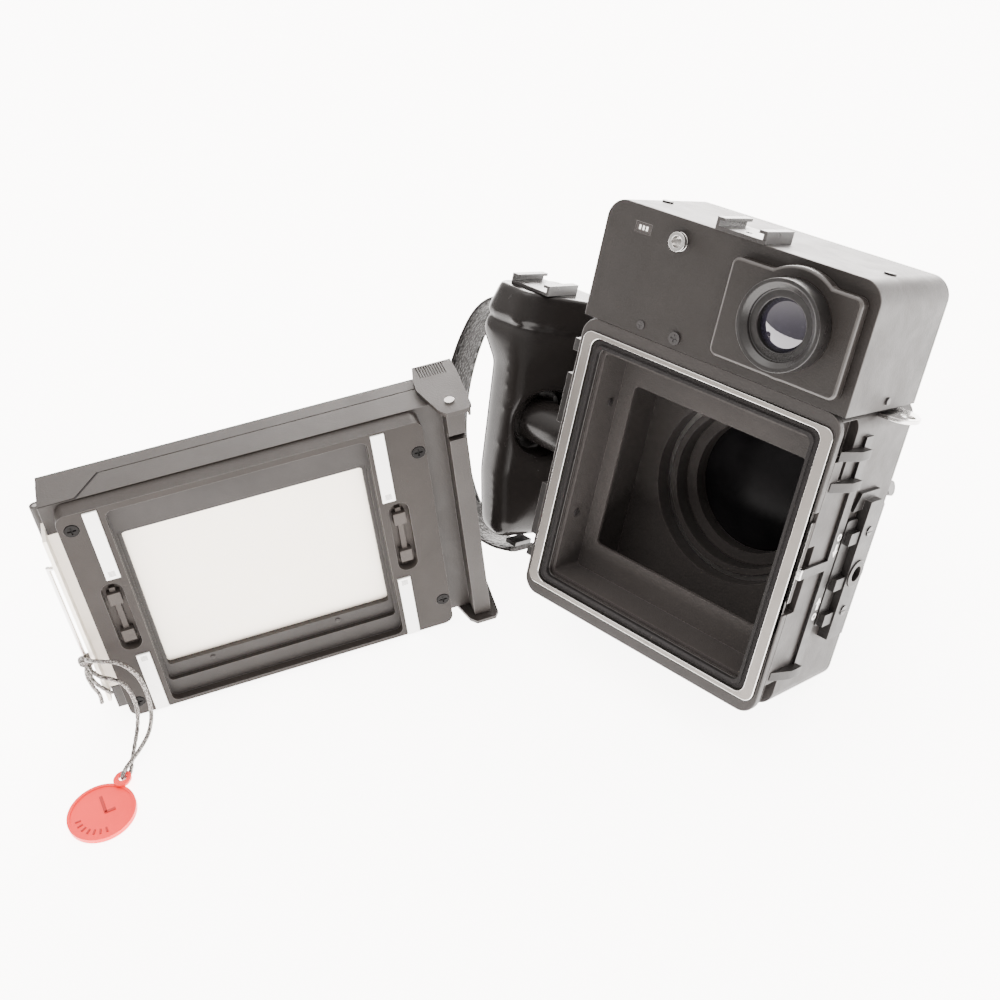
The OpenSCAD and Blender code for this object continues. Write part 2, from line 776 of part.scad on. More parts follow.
module dark_slide() {
    color("beige") on_back() {
        translate([back_left - 1, shell_y0 + 0.1, -42]) cube([130, 0.8, 84]);
        translate([back_left - 1.8, 2, -44]) cube([1.5, 12, 88]);
    }
}

module slide_bail() {
    wire = 0.8;
    x = back_left - 4.4;
    color("silver") on_back() {
        for (z = [-30, 28]) translate([x, 6, z]) rotate([0, 90, 0]) cylinder(r = wire, h = 2.6);
        translate([x, 6, -30 - wire]) cylinder(r = wire, h = 58 + 2 * wire);
        translate([x, 6, -22]) sphere(2.6);
    }
}

// ---------------------------------------------------------------- tag and string

tag_at = [-87.5, -44.5];
lug_at = [-77.6, -31.6];

// The tag's lug stands clear of the table, so the string passes down through it and out below
module tag() {
    rim = 1.2;
    lug_r = 3.4;
    lug_z = 1.9;
    color("tomato") on_back() translate([0, 0, table_z]) difference() {
        union() {
            translate([tag_at[0], tag_at[1], 0]) cylinder(r = tag_r, h = tag_t);
            translate([0, 0, lug_z]) linear_extrude(1.2) difference() {
                for (k = [0.95, 1]) translate(tag_at + k * (lug_at - tag_at)) circle(lug_r);
                translate(lug_at) circle(lug_r / 2);
            }
        }
        translate([tag_at[0], tag_at[1], tag_t - 0.5]) cylinder(r = tag_r - rim, h = 0.5 + eps);
    }
}

// Points of the string's middle line in the back's frame, from its knot round the tag and back
string_points = [[-79.63, 4.15, -20.15], [-78.3, 0.6, -17.6], [-73.5, -4.4, -15.4],
                 [-66.5, -6.8, -17], [-61.8, -8.2, -24], [-60.4, -9, -34], [-61.2, -11, -44],
                 [-64.2, -15, -50.3], [-69, -20.8, -52.4], [-74.56, -27.64, -52.3],
                 [-76.08, -29.62, -52.5], [-76.99, -30.81, -52.9], [-77.45, -31.4, -53.6],
                 [-77.6, -31.6, -54.35], [-77.45, -31.4, -55.1], [-76.99, -30.81, -55.8],
                 [-76.08, -29.62, -56.08], [-74.56, -27.64, -56.09], [-73.4, -22, -56.09],
                 [-71.5, -16, -55], [-68.6, -11, -50.5], [-66.6, -8, -44], [-66.4, -6.6, -36],
                 [-68.2, -5.6, -29.5], [-72, -4.6, -26], [-75.6, -2.8, -25], [-78.4, 0.4, -24.2],
                 [-79.24, 3.61, -22.93]];

// A smooth curve through four points, for t from 0 to 1 between the middle two
function curve(a, b, c, d, t) =
    0.5 * ((2 * b) + (c - a) * t + (2 * a - 5 * b + 4 * c - d) * t * t + (3 * b - a - 3 * c + d) * t * t * t);
string_steps = 3;
string_line =
    let (p = string_points, n = len(p))
    [for (i = [0 : n - 2], k = [0 : string_steps - 1])
        curve(p[max(i - 1, 0)], p[i], p[i + 1], p[min(i + 2, n - 1)], k / string_steps),
     p[n - 1]];

// The tube's ring of eight points round the line at step i
function ring(line, i, r) =
    let (n = len(line),
         t = unit(line[min(i + 1, n - 1)] - line[max(i - 1, 0)]),
         side = unit(cross(t, abs(t[2]) < 0.9 ? [0, 0, 1] : [1, 0, 0])),
         up = cross(side, t))
    [for (k = [0 : 7]) line[i] + r * (cos(k * 45) * side + sin(k * 45) * up)];

module tube(line, r) {
    n = len(line);
    points = [for (i = [0 : n - 1]) each ring(line, i, r)];
    sides = [for (i = [0 : n - 2], k = [0 : 7])
        [i * 8 + k, i * 8 + (k + 1) % 8, (i + 1) * 8 + (k + 1) % 8, (i + 1) * 8 + k]];
    cap_start = [[for (k = [7 : -1 : 0]) k]];
    cap_end = [[for (k = [0 : 7]) (n - 1) * 8 + k]];
    polyhedron(points, concat(sides, cap_start, cap_end));
}

module tag_string() { color("lightgray") on_back() tube(string_line, string_d / 2); }

body_casting();
rear_frame();
film_flange();
light_seal();
light_baffle();
rangefinder_housing();
eyepiece_panel();
eyepiece_ring();
eyepiece_glass();
viewfinder_window();
rangefinder_window();
top_shoe();
sync_socket();
number_window();
housing_screws();
tripod_bracket();
tripod_bush();
bracket_screws();
strap_lug();
lens_mount_ring();
lens_barrel();
breech_ring();
focus_ring();
lens_tube();
rear_glass();
shutter_housing();
front_barrel();
front_glass();
cocking_lever();
release_lever();
speed_ring();
aperture_ring();
lock_slide();
lock_bar_right();
lock_bar_left();
grip_rear();
grip_front();
grip_cap();
grip_shoe();
grip_arm();
clamp_collar();
trigger();
hand_strap();
strap_anchors();
back_housing();
mount_plate();
wear_strips();
plate_screws();
lock_catches();
roller_frame();
pressure_springs();
roller_front();
roller_rear();
back_door();
hinge_pin();
latch();
dark_slide();
slide_bail();
tag();
tag_string();
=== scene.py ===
"""Looks of the press camera and its film back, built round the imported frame. Lengths are in mm in
the two local frames below, and in metres once placed."""

import json
import math

import bmesh
import bpy
from mathutils import Euler, Matrix, Vector

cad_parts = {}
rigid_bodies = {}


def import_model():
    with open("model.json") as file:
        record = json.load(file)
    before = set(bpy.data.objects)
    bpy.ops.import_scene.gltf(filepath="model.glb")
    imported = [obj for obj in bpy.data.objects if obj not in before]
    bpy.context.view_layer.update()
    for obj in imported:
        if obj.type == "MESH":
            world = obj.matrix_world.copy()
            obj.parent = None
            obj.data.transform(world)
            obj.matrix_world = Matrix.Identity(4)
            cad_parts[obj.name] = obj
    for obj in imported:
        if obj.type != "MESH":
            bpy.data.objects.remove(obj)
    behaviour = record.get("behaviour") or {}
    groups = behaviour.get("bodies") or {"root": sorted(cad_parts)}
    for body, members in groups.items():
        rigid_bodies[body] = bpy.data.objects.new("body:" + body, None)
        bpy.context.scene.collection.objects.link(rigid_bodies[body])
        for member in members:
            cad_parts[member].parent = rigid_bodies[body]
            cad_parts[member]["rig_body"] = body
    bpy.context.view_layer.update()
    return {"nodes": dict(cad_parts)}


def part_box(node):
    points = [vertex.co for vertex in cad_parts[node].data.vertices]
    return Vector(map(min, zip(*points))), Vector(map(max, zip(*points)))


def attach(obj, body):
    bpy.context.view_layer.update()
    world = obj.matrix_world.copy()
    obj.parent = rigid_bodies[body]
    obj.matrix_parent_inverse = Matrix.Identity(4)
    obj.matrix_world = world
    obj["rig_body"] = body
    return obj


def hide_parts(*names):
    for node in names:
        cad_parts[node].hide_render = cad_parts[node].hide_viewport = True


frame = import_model()
nodes = frame["nodes"]
MM = 0.001

# ------------------------------------------------------------------ frames and camera
# The same places as in part.scad: camera body +X right, +Y to the lens, +Z up; back +X to the
# latch end, +Y into the back, +Z up.
PITCH = Matrix.Rotation(math.radians(-24.5), 4, "X")
YAW = Matrix.Rotation(math.radians(61.6), 4, "Z")
FLANGE_MIDDLE, PLATE_MIDDLE = 0.35, 4.0


def middle(node):
    """The middle of a node's box, in mm."""
    low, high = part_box(node)
    return (low + high) / 2 / MM


# The flange's and the plate's middles lie a little way along +Y from their frames' origins
CAMERA_AT = middle("film_flange") - PITCH @ Vector((0, FLANGE_MIDDLE, 0))
BACK_AT = middle("mount_plate") - YAW @ Vector((0, PLATE_MIDDLE, 0))
ON_CAMERA = Matrix.Translation(CAMERA_AT * MM) @ PITCH @ Matrix.Scale(MM, 4)
ON_BACK = Matrix.Translation(BACK_AT * MM) @ YAW @ Matrix.Scale(MM, 4)
SIDE_X = 58.0                                        # the camera body's right side
BACK_LEFT, BACK_LOW, BACK_HIGH = -75.5, -54.7, 55.0  # the back's outer faces
TABLE_Z = -57.0                                      # the table's top in the back's frame
VIEW_LENS = 47.49                                    # on a frame 36 mm wide
VIEW_TURN = (50.286, 5.295, 43.330)                  # degrees about X, Y and Z
VIEW_FROM = Vector((239.83, -302.87, 329.89))        # from the camera body's origin


def add_object(name, data):
    ob = bpy.data.objects.new(name, data)
    bpy.context.scene.collection.objects.link(ob)
    return ob


def make_camera():
    data = bpy.data.cameras.new("view")
    data.lens, data.sensor_width, data.sensor_fit = VIEW_LENS, 36.0, "HORIZONTAL"
    data.clip_start, data.clip_end = 0.01, 50.0
    ob = add_object("view", data)
    turn = Euler([math.radians(a) for a in VIEW_TURN]).to_matrix().to_4x4()
    ob.matrix_world = Matrix.Translation((CAMERA_AT + VIEW_FROM) * MM) @ turn
    bpy.context.scene.camera = ob


make_camera()


# ------------------------------------------------------------------ materials
class Graph:
    """A material's node tree with short names for what is used often."""

    def __init__(self, name):
        self.mat = bpy.data.materials.new(name)
        self.mat.use_nodes = True
        self.t = self.mat.node_tree
        self.shader = self.t.nodes["Principled BSDF"]
        self.coord = self.t.nodes.new("ShaderNodeTexCoord").outputs["Object"]

    def link(self, a, b):
        self.t.links.new(a, b)

    def scaled(self, scale):
        n = self.t.nodes.new("ShaderNodeMapping")
        n.inputs["Scale"].default_value = scale
        self.link(self.coord, n.inputs["Vector"])
        return n.outputs["Vector"]

    def noise(self, scale, detail=3.0, rough=0.55, stretch=None, distort=0.0):
        n = self.t.nodes.new("ShaderNodeTexNoise")
        n.inputs["Scale"].default_value = scale
        n.inputs["Detail"].default_value = detail
        n.inputs["Roughness"].default_value = rough
        n.inputs["Distortion"].default_value = distort
        self.link(self.scaled(stretch) if stretch else self.coord, n.inputs["Vector"])
        return n.outputs["Fac"]

    def cells(self, scale, feature="F1", stretch=None):
        n = self.t.nodes.new("ShaderNodeTexVoronoi")
        n.feature = feature
        n.inputs["Scale"].default_value = scale
        self.link(self.scaled(stretch) if stretch else self.coord, n.inputs["Vector"])
        return n.outputs["Distance"]

    def ramp(self, fac, stops):
        n = self.t.nodes.new("ShaderNodeValToRGB")
        e = n.color_ramp.elements
        while len(e) < len(stops):
            e.new(0.5)
        for element, (place, colour) in zip(e, stops):
            element.position = place
            element.color = (*colour, 1.0)
        self.link(fac, n.inputs["Fac"])
        return n.outputs["Color"]

    def span(self, fac, low, high, start=0.3, end=0.7):
        n = self.t.nodes.new("ShaderNodeMapRange")
        for key, value in (("From Min", start), ("From Max", end), ("To Min", low), ("To Max", high)):
            n.inputs[key].default_value = value
        self.link(fac, n.inputs["Value"])
        return n.outputs["Result"]

    def math(self, op, a, b):
        n = self.t.nodes.new("ShaderNodeMath")
        n.operation = op
        for socket, value in zip(n.inputs, (a, b)):
            if isinstance(value, (int, float)):
                socket.default_value = value
            else:
                self.link(value, socket)
        return n.outputs[0]

    def mix(self, fac, a, b):
        n = self.t.nodes.new("ShaderNodeMix")
        n.data_type = "RGBA"
        self.link(fac, n.inputs[0])
        for socket, value in ((n.inputs[6], a), (n.inputs[7], b)):
            if isinstance(value, tuple):
                socket.default_value = (*value, 1.0)
            else:
                self.link(value, socket)
        return n.outputs[2]

    def bump(self, height, distance, strength=1.0, under=None):
        n = self.t.nodes.new("ShaderNodeBump")
        n.inputs["Strength"].default_value = strength
        n.inputs["Distance"].default_value = distance
        self.link(height, n.inputs["Height"])
        if under is not None:
            self.link(under, n.inputs["Normal"])
        return n.outputs["Normal"]

    def set(self, **values):
        for key, value in values.items():
            socket = self.shader.inputs[key.replace("_", " ")]
            if isinstance(value, (int, float)):
                socket.default_value = value
            elif isinstance(value, tuple):
                socket.default_value = (*value, 1.0)
            else:
                self.link(value, socket)


def shade(c, k):
    """The colour made k times as bright."""
    return tuple(min(1.0, v * k) for v in c)


def painted(name, colour, rough, grain, height, mottle=0.12, specular=0.5):
    """Baked enamel or moulded resin: fine orange-peel grain, slow mottling, faint rubbed patches."""
    g = Graph(name)
    slow = g.noise(28.0, 4.0)
    fine = g.noise(grain, 2.0, 0.6)
    rub = g.noise(70.0, 6.0, 0.7, distort=0.4)
    base = g.ramp(slow, [(0.3, shade(colour, 1 - mottle)), (0.7, shade(colour, 1 + mottle))])
    base = g.mix(g.span(rub, 0.0, 0.22, 0.56, 0.74), base, shade(colour, 1.5))
    g.set(Base_Color=base, Roughness=g.span(rub, rough - 0.07, rough + 0.07),
          Normal=g.bump(fine, height), Specular_IOR_Level=specular)
    return g.mat


def metal(name, colour, rough, brush, line=260.0):
    """Bare or plated metal with brushing along one axis and faint handling marks."""
    spread, depth = 0.1, 0.00001
    g = Graph(name)
    strokes = g.noise(line, 3.0, 0.6, stretch=brush)
    marks = g.noise(90.0, 6.0, 0.7)
    base = g.mix(g.span(marks, 0.0, 0.35, 0.5, 0.8), colour, shade(colour, 0.78))
    r = g.math("ADD", g.span(strokes, rough - spread * 0.5, rough + spread * 0.5),
               g.span(marks, 0.0, spread))
    g.set(Base_Color=base, Metallic=1.0, Roughness=r, Normal=g.bump(strokes, depth))
    return g.mat


def leather(name, colour):
    """Pebbled leather: cells for the pebbles, finer creases over them."""
    rough = 0.42
    g = Graph(name)
    cell = g.cells(820.0)
    crease = g.noise(1500.0, 4.0, 0.65)
    slow = g.noise(60.0, 4.0)
    h = g.math("ADD", g.math("MULTIPLY", cell, 0.9), g.math("MULTIPLY", crease, 0.35))
    base = g.mix(g.span(cell, 0.0, 1.0, 0.1, 0.7), shade(colour, 1.35), shade(colour, 0.55))
    base = g.mix(g.span(slow, 0.0, 0.4), base, shade(colour, 1.7))
    g.set(Base_Color=base, Roughness=g.span(cell, rough - 0.1, rough + 0.15, 0.1, 0.7),
          Normal=g.bump(h, 0.00035, 0.8), Specular_IOR_Level=0.14)
    return g.mat


def braid(name, light, dark):
    """Fine plaited metal thread: small bright facets, with painted shade in the gaps between them."""
    g = Graph(name)
    facet = g.cells(1500.0)
    strand = g.noise(2600.0, 2.0)
    # The cells' edges are mixed toward the dark colour: painted shade in the gaps between strands.
    base = g.mix(g.span(facet, 0.0, 1.0, 0.25, 0.62), light, dark)
    g.set(Base_Color=base, Metallic=0.85, Roughness=g.span(strand, 0.34, 0.55),
          Normal=g.bump(g.math("MULTIPLY", facet, -1.0), 0.00018, 0.9))
    return g.mat


def coated_glass(name, tint, rough=0.02, specular=0.8, coat=0.6, dirt=0.12):
    """Coated optical glass over a dark interior, with a faint film of dust."""
    g = Graph(name)
    dust = g.noise(900.0, 5.0, 0.7)
    tone = g.ramp(g.noise(45.0, 2.0), [(0.3, shade(tint, 0.6)), (0.7, shade(tint, 1.5))])
    g.set(Base_Color=g.mix(g.span(dust, 0.0, dirt, 0.6, 0.8), tone, (0.5, 0.48, 0.5)),
          Roughness=g.span(dust, rough, rough + 0.1, 0.55, 0.8),
          Normal=g.bump(g.noise(60.0, 1.0), 0.00001, 0.3),
          Specular_IOR_Level=specular, Coat_Weight=coat, Coat_Roughness=0.02,
          Coat_Tint=(0.88, 0.84, 0.96))
    return g.mat


MAT = {
    "body": painted("camera_enamel", (0.0150, 0.0127, 0.0117), 0.50, 1300.0, 0.00005, specular=0.26),
    # Lighter paint for rounded edges: edge wear, and partly a painted highlight where the edges catch light.
    "body_edge": painted("camera_enamel_rubbed_and_highlit", (0.030, 0.0265, 0.025), 0.42, 1300.0, 0.00003, specular=0.4),
    "housing": painted("housing_enamel", (0.0112, 0.0093, 0.0084), 0.45, 1500.0, 0.00006, specular=0.22),
    "inside": painted("chamber_flock", (0.0300, 0.0264, 0.0250), 0.70, 1800.0, 0.00012, specular=0.25),
    "seal": painted("seal_foam", (0.008, 0.007, 0.007), 0.80, 2200.0, 0.0002, specular=0.2),
    "back": painted("back_resin", (0.0250, 0.0214, 0.0194), 0.50, 1600.0, 0.00007, specular=0.22),
    # Lighter paint for the back's rounded edges: edge wear, and partly a painted highlight where the edges
    # catch light.
    "back_edge": painted("back_resin_rubbed_and_highlit", (0.036, 0.0318, 0.029), 0.42, 1600.0, 0.00004, specular=0.4),
    "plate": painted("plate_resin", (0.0212, 0.0180, 0.0162), 0.55, 1700.0, 0.00006, specular=0.12),
    "plate_dark": painted("plate_recess", (0.022, 0.0194, 0.0183), 0.60, 1700.0, 0.00006, specular=0.2),
    "rubber": painted("eyepiece_rubber", (0.0065, 0.0058, 0.0056), 0.30, 1500.0, 0.00005, specular=0.35),
    "grip": painted("grip_gloss", (0.0105, 0.0092, 0.0087), 0.22, 60.0, 0.00002, mottle=0.06, specular=0.2),
    "lens": painted("lens_enamel", (0.012, 0.011, 0.011), 0.36, 1300.0, 0.00004),
    "screw": painted("screw_black", (0.014, 0.0125, 0.0125), 0.42, 1800.0, 0.00003, specular=0.35),
    "bracket": painted("bracket_black", (0.0085, 0.0075, 0.0071), 0.45, 1500.0, 0.00005, specular=0.25),
    "cream": painted("slide_cream", (0.94, 0.87, 0.765), 0.45, 1400.0, 0.00003, mottle=0.02),
    "white": painted("strip_white", (0.88, 0.87, 0.85), 0.30, 1500.0, 0.00002, mottle=0.03),
    "tag": painted("tag_red", (0.80, 0.022, 0.020), 0.36, 1500.0, 0.00005, mottle=0.06, specular=0.3),
    "tag_cut": painted("tag_red_cut", (0.36, 0.010, 0.009), 0.50, 1500.0, 0.00005, mottle=0.06, specular=0.3),
    "print": painted("print_white", (0.62, 0.61, 0.59), 0.55, 1500.0, 0.00002, mottle=0.04),
    "flange": metal("flange_brushed", (0.17, 0.158, 0.147), 0.46, (1.0, 40.0, 1.0)),
    "steel": metal("shoe_steel", (0.24, 0.23, 0.225), 0.30, (40.0, 1.0, 1.0)),
    "chrome": metal("bright_chrome", (0.56, 0.55, 0.54), 0.13, (1.0, 1.0, 8.0), 200.0),
    "dark_steel": metal("dark_steel", (0.10, 0.095, 0.09), 0.34, (1.0, 1.0, 30.0)),
    "string": braid("string_silver", (0.30, 0.285, 0.27), (0.055, 0.05, 0.047)),
    "shoe": painted("shoe_dark", (0.020, 0.018, 0.0175), 0.30, 1500.0, 0.00003, specular=0.5),
    # Near-black paint for the plate screws: painted shade of the recesses they sit in.
    "recess": painted("screw_painted_recess_shade", (0.0045, 0.0040, 0.0038), 0.65, 1800.0, 0.00003, specular=0.1),
    # The lock pockets' paint is lighter than the plate's: painted light that offsets the shade in the deep
    # pockets.
    "pocket": painted("pocket_resin_painted_fill_light", (0.042, 0.036, 0.0325), 0.60, 1700.0, 0.00006, specular=0.15),
    "glass": coated_glass("coated_glass", (0.010, 0.009, 0.014)),
    "dark_glass": coated_glass("rear_lens_glass", (0.006, 0.0055, 0.006), 0.30, 0.06, 0.0, 0.0),
    "leather": leather("strap_leather", (0.012, 0.0105, 0.010)),
}


# ------------------------------------------------------------------ mesh helpers
BACK_BODIES = {"film_back", "back_door", "latch", "roller_front", "roller_rear", "dark_slide"}
WELD = 2e-6           # metres between points that are taken as one
FLAT = 0.6            # degrees between facets that are taken as one face
ROUNDED_ABOVE = 32.0  # degrees at an edge before it gets a bevel
SHARP_ABOVE = 46.0    # degrees at an edge before its shading breaks


def body_of(node):
    return nodes[node]["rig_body"]


def apply_modifiers(ob):
    dg = bpy.context.evaluated_depsgraph_get()
    mesh = bpy.data.meshes.new_from_object(ob.evaluated_get(dg), depsgraph=dg)
    ob.modifiers.clear()
    ob.data = mesh


def smooth_shading(mesh):
    for p in mesh.polygons:
        p.use_smooth = True


def add_bevel(ob, width, segments, angle):
    """Rounds the edges sharper than angle, in degrees. width is in mm."""
    bevel = ob.modifiers.new("bevel", "BEVEL")
    bevel.width, bevel.segments = width * MM, segments
    bevel.limit_method, bevel.angle_limit = "ANGLE", math.radians(angle)
    return bevel


def copy_of(name, parts, local, clean):
    """An object with the meshes of CAD nodes, held in a local frame. clean merges their flat facets."""
    unscaled = local @ Matrix.Scale(1 / MM, 4)
    bm = bmesh.new()
    for node in parts:
        bm.from_mesh(nodes[node].data)
    if clean:
        bmesh.ops.remove_doubles(bm, verts=bm.verts, dist=WELD)
        bmesh.ops.dissolve_limit(bm, angle_limit=math.radians(FLAT), verts=bm.verts, edges=bm.edges)
    bm.transform(unscaled.inverted())
    mesh = bpy.data.meshes.new(name)
    bm.to_mesh(mesh)
    bm.free()
    ob = add_object(name, mesh)
    ob.matrix_world = unscaled
    return ob


def paint_picked(ob, pick):
    """Gives each face the material that pick names for its middle, in mm, and its normal."""
    for p in ob.data.polygons:
        name = pick(p.center / MM, p.normal)
        if name is None:
            continue
        if MAT[name].name not in ob.data.materials:
            ob.data.materials.append(MAT[name])
        p.material_index = list(ob.data.materials).index(MAT[name])


def refine(node, mat, edge, width, segments=2, pick=None):
    """Stands for a CAD node with the same shape and rounded edges. edge is the material of the rounded
    edges, None for the node's own, and width is theirs in mm."""
    ob = copy_of(node + "_finish", [node], ON_BACK if body_of(node) in BACK_BODIES else ON_CAMERA, True)
    ob.data.materials.clear()
    ob.data.materials.append(MAT[mat])
    ob.data.materials.append(MAT[edge or mat])
    for p in ob.data.polygons:
        p.material_index = 0
    if width:
        bevel = add_bevel(ob, width, segments, ROUNDED_ABOVE)
        bevel.use_clamp_overlap = True
        bevel.material = 1 if edge else -1
        apply_modifiers(ob)
    ob.data.set_sharp_from_angle(angle=math.radians(SHARP_ABOVE))
    smooth_shading(ob.data)
    weighted = ob.modifiers.new("normals", "WEIGHTED_NORMAL")
    weighted.keep_sharp = True
    apply_modifiers(ob)
    if pick:
        paint_picked(ob, pick)
    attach(ob, body_of(node))
    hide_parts(node)
    return ob


def soften(name, parts, mat, voxel=0.9, rounds=30):
    """One moulding that stands for CAD nodes: their shape with facets, joins and edges melted."""
    ob = copy_of(name, parts, ON_CAMERA, False)
    remesh = ob.modifiers.new("remesh", "REMESH")
    remesh.mode, remesh.voxel_size = "VOXEL", voxel * MM
    melt = ob.modifiers.new("melt", "SMOOTH")
    melt.factor, melt.iterations = 0.6, rounds
    apply_modifiers(ob)
    ob.data.materials.clear()
    ob.data.materials.append(MAT[mat])
    for p in ob.data.polygons:
        p.material_index = 0
    smooth_shading(ob.data)
    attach(ob, body_of(parts[0]))
    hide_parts(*parts)


def mesh_from(name, shape, local, body, mat, smooth=True, sharp=35.0):
    """A new mesh from points in mm in a local frame. shape is its points and its faces."""
    verts, faces = shape
    mesh = bpy.data.meshes.new(name)
    mesh.from_pydata([Vector(v) * MM for v in verts], [], faces)
    mesh.validate()
    bm = bmesh.new()
    bm.from_mesh(mesh)
    bmesh.ops.recalc_face_normals(bm, faces=bm.faces)
    bm.to_mesh(mesh)
    bm.free()
    if smooth:
        smooth_shading(mesh)
        mesh.set_sharp_from_angle(angle=math.radians(sharp))
    ob = add_object(name, mesh)
    ob.matrix_world = local @ Matrix.Scale(1 / MM, 4)
    mesh.materials.append(MAT[mat])
    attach(ob, body)
    return ob


def joined(parts):
    """One shape from several."""
    verts, faces = [], []
    for v, f in parts:
        start = len(verts)
        verts += v
        faces += [tuple(i + start for i in face) for face in f]
    return verts, faces


def skin(verts, sides, ends=True):
    """The shape over rings of points, sides points to a ring, with a face at each end or open ends."""
    rings = len(verts) // sides
    faces = []
    for i in range(rings - 1):
        for k in range(sides):
            j = (k + 1) % sides
            faces.append((i * sides + k, i * sides + j, (i + 1) * sides + j, (i + 1) * sides + k))
    if ends:
        faces.append(tuple(range(sides - 1, -1, -1)))
        faces.append(tuple((rings - 1) * sides + k for k in range(sides)))
    return verts, faces


def curve_points(points, steps):
    """A smooth curve through the points, as part.scad draws it."""
    p = [Vector(v) for v in points]
    n = len(p)
    out = []
    for i in range(n - 1):
        a, b, c, d = p[max(i - 1, 0)], p[i], p[i + 1], p[min(i + 2, n - 1)]
        for k in range(steps):
            t = k / steps
            out.append(0.5 * (2 * b + (c - a) * t + (2 * a - 5 * b + 4 * c - d) * t * t
                              + (3 * b - a - 3 * c + d) * t ** 3))
    return out + [p[-1]]


def heading(line, i):
    """The direction of a line of points at point i."""
    return (line[min(i + 1, len(line) - 1)] - line[max(i - 1, 0)]).normalized()


# ------------------------------------------------------------------ the tag's string
STRING_D = 1.8
STRING_POINTS = [(-79.63, 4.15, -20.15), (-78.3, 0.6, -17.6), (-73.5, -4.4, -15.4),
                 (-66.5, -6.8, -17), (-61.8, -8.2, -24), (-60.4, -9, -34), (-61.2, -11, -44),
                 (-64.2, -15, -50.3), (-69, -20.8, -52.4), (-74.56, -27.64, -52.3),
                 (-76.08, -29.62, -52.5), (-76.99, -30.81, -52.9), (-77.45, -31.4, -53.6),
                 (-77.6, -31.6, -54.35), (-77.45, -31.4, -55.1), (-76.99, -30.81, -55.8),
                 (-76.08, -29.62, -56.08), (-74.56, -27.64, -56.09), (-73.4, -22, -56.09),
                 (-71.5, -16, -55), (-68.6, -11, -50.5), (-66.6, -8, -44), (-66.4, -6.6, -36),
                 (-68.2, -5.6, -29.5), (-72, -4.6, -26), (-75.6, -2.8, -25), (-78.4, 0.4, -24.2),
                 (-79.24, 3.61, -22.93)]
KNOT_AT = Vector((-79.9, 6.0, -22.0))


def cord_shape(line, radius, sides=16, lay=3.2):
    """A cord of twisted strands: its radius rises and falls round and along it. lay is one turn's length."""
    verts, along = [], 0.0
    side = None
    for i, p in enumerate(line):
        t = heading(line, i)
        side = (side - t * side.dot(t)).normalized() if side else t.orthogonal().normalized()
        up = side.cross(t)
        if i:
            along += (p - line[i - 1]).length
        for k in range(sides):
            a = 2 * math.pi * k / sides
            left = math.cos(2 * a + 2 * math.pi * along / lay)
            right = math.cos(2 * a - 2 * math.pi * along / lay)
            r = radius * (0.86 + 0.14 * max(left, right))
            verts.append(p + r * (math.cos(a) * side + math.sin(a) * up))
    return skin(verts, sides)


def string_length(line):
    return sum((b - a).length for a, b in zip(line, line[1:]))


string_line = curve_points(STRING_POINTS, 12)
string = mesh_from("string_braid", cord_shape(string_line, STRING_D / 2), ON_BACK, "dark_slide",
                   "string")
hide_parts("tag_string")


# ------------------------------------------------------------------ CAD nodes, finished
def chamber_pick(c, n):
    """The film chamber's walls and floor are blackened."""
    inner = abs(c.x) < 48.4 and abs(c.z) < 49.5 and c.y > 2.5
    return "inside" if inner else None


def bore_pick(c, n):
    """Faces that look in towards the lens axis, or back at the film, are blackened."""
    return "inside" if c.x * n.x + c.z * n.z < -0.5 or n.y < -0.7 else None


def lock_bar_pick(c, n):
    """The tip that catches the film back is bright, the bar's hidden part is dull."""
    if abs(c.z) < 2.2 and c.y < 3.2:
        return "chrome"
    return "inside" if c.x < 58.1 and c.y < 3.5 else None


def plate_pick(c, n):
    """The ledges round the film window have a tone of their own; the pockets at the plate's ends are painted
    lighter, painted light that offsets their shade.
    """
    out = abs(c.x + 2.5)
    if c.y > 3.0 and out < 50 and abs(c.z) < 43:
        return "plate_dark"
    pocket = 0.3 < c.y < 6.5 and out > 54 and abs(c.z) < 26 and n.y < 0.9
    return "pocket" if pocket else None


def latch_pick(c, n):
    """The latch's pivot head, on its upper end, is bright."""
    return "chrome" if c.z > 57.1 and abs(c.x - 83.4) < 2.6 and abs(c.y - 4.4) < 2.6 else None


def bail_pick(c, n):
    """The bail has the string's colour where the knot sits on it."""
    return "string" if (c - KNOT_AT).length < 2.8 else None


